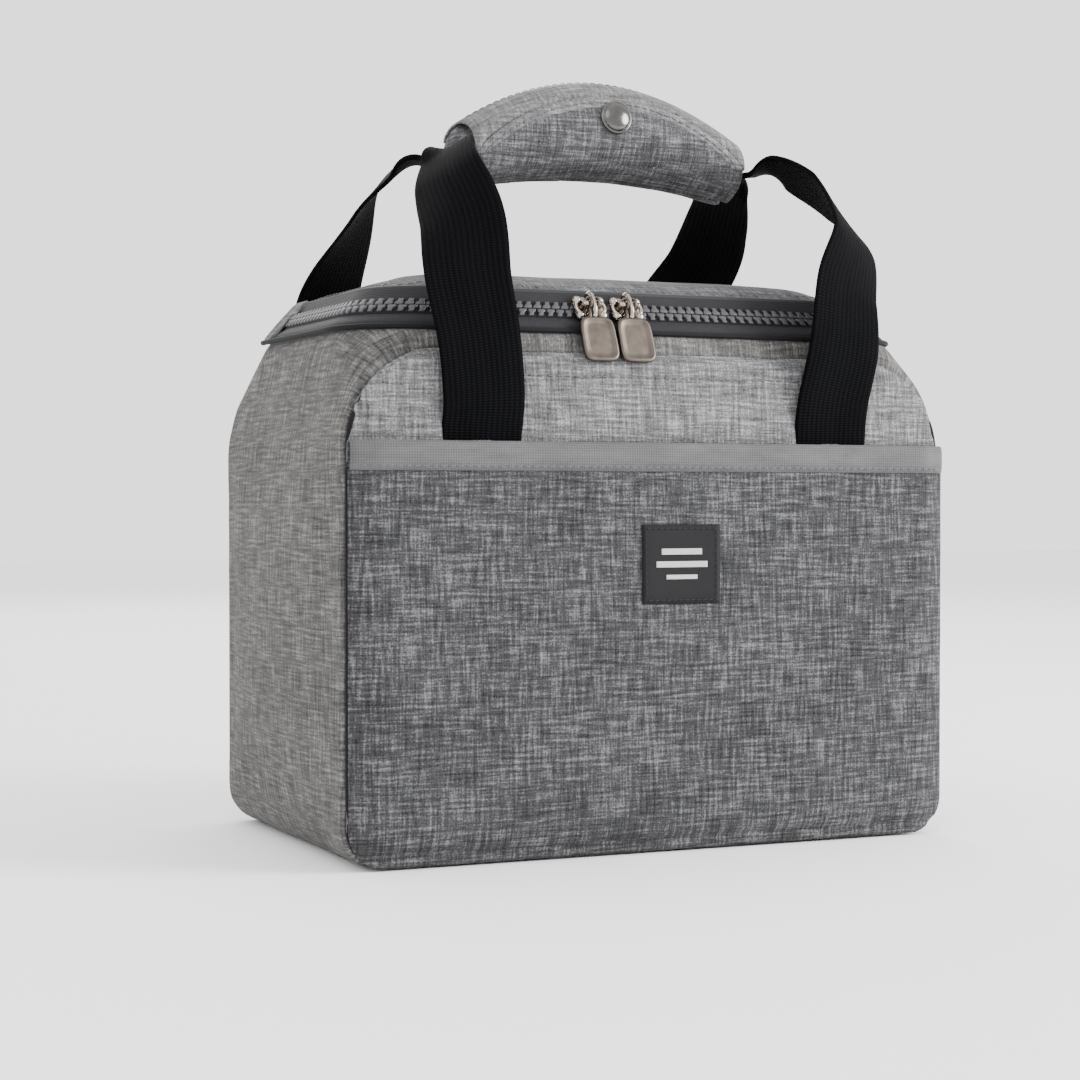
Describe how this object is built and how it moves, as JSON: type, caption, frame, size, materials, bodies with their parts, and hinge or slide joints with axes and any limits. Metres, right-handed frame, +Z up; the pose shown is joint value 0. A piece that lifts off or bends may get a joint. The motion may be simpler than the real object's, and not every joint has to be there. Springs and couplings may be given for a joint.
{
  "type": "insulated lunch box",
  "caption": "Soft insulated lunch box with a domed zip-round lid, front slip pocket and webbing handles joined in a padded snap grip.",
  "frame": {"origin": "middle of the flat base, on the surface that the bag stands on", "axes": "+X to the wearer's right seen from the front, +Y from the front pocket to the back, +Z up"},
  "size_m": [0.236, 0.1574, 0.2829],
  "materials": {
    "heather_fabric": "heathered polyester weave, light and dark grey slubs",
    "gusset_fabric": "the same heathered weave, seen a little lighter and warmer",
    "pocket_fabric": "the same heathered weave, the darker side",
    "binding_tape": "plain grey grosgrain tape",
    "label_weave": "black damask label with pale woven bars",
    "zip_tape": "smooth dark grey woven tape",
    "zip_teeth": "moulded dark grey resin",
    "webbing": "black ribbed webbing",
    "insulation": "white closed-cell foam sheet",
    "foil": "silver foil-faced film",
    "slider_metal": "warm antique nickel, satin with bright edges",
    "pull_metal": "brushed antique nickel",
    "snap_metal": "dark polished nickel"
  },
  "bodies": {
    "bag": {"front_panel": "heather_fabric", "back_panel": "heather_fabric", "left_gusset": "gusset_fabric", "right_gusset": "gusset_fabric", "base_gusset": "gusset_fabric", "front_collar": "gusset_fabric", "back_collar": "gusset_fabric", "front_foam": "insulation", "back_foam": "insulation", "left_foam": "insulation", "right_foam": "insulation", "base_foam": "insulation", "foil_liner": "foil", "pocket_panel": "pocket_fabric", "pocket_binding": "binding_tape", "woven_label": "label_weave", "body_tape": "zip_tape", "body_teeth": "zip_teeth", "zip_end_tabs": "zip_tape", "front_strap_tails": "webbing", "back_strap_tails": "webbing"},
    "lid": {"lid_tape": "zip_tape", "lid_teeth": "zip_teeth", "lid_panel": "heather_fabric", "lid_foam": "insulation", "lid_liner": "foil"},
    "left_slider": {"slider_left": "slider_metal"},
    "right_slider": {"slider_right": "slider_metal"},
    "left_pull": {"pull_left": "pull_metal"},
    "right_pull": {"pull_right": "pull_metal"},
    "front_handle": {"front_strap": "webbing", "front_grip_pad": "heather_fabric"},
    "snap_flap": {"grip_flap": "heather_fabric", "snap_cap": "snap_metal", "snap_socket": "snap_metal"},
    "back_handle": {"back_strap": "webbing", "back_grip_pad": "heather_fabric", "snap_stud": "snap_metal"}
  },
  "joints": [
    {"name": "lid_hinge", "type": "hinge", "parent": "bag", "child": "lid", "pos_m": [0, 0.063, 0.1845], "axis": [-1, 0, 0], "range_deg": [0, 105]},
    {"name": "front_handle_swing", "type": "hinge", "parent": "bag", "child": "front_handle", "pos_m": [0, -0.077, 0.146], "axis": [1, 0, 0], "range_deg": [0, 147]},
    {"name": "back_handle_swing", "type": "hinge", "parent": "bag", "child": "back_handle", "pos_m": [0, 0.077, 0.146], "axis": [-1, 0, 0], "range_deg": [0, 147]},
    {"name": "flap_fold", "type": "hinge", "parent": "front_handle", "child": "snap_flap", "pos_m": [0.007, -0.0095, 0.241], "axis": [1, 0, 0], "range_deg": [0, 110]},
    {"name": "slider_left_run", "type": "slide", "parent": "bag", "child": "left_slider", "axis": [-1, 0, 0], "range_m": [0, 0.022]},
    {"name": "slider_right_run", "type": "slide", "parent": "bag", "child": "right_slider", "axis": [1, 0, 0], "range_m": [0, 0.052]},
    {"name": "pull_left_swing", "type": "hinge", "parent": "left_slider", "child": "left_pull", "pos_m": [-0.0232, -0.06365, 0.194], "axis": [-1, 0, 0], "range_deg": [0, 125]},
    {"name": "pull_right_swing", "type": "hinge", "parent": "right_slider", "child": "right_pull", "pos_m": [-0.0088, -0.06365, 0.194], "axis": [-1, 0, 0], "range_deg": [0, 125]}
  ],
  "couplings": [
    {"joint": "front_handle_swing", "follows": "lid_hinge", "ratio": 1.4},
    {"joint": "back_handle_swing", "follows": "lid_hinge", "ratio": 1.4}
  ]
}
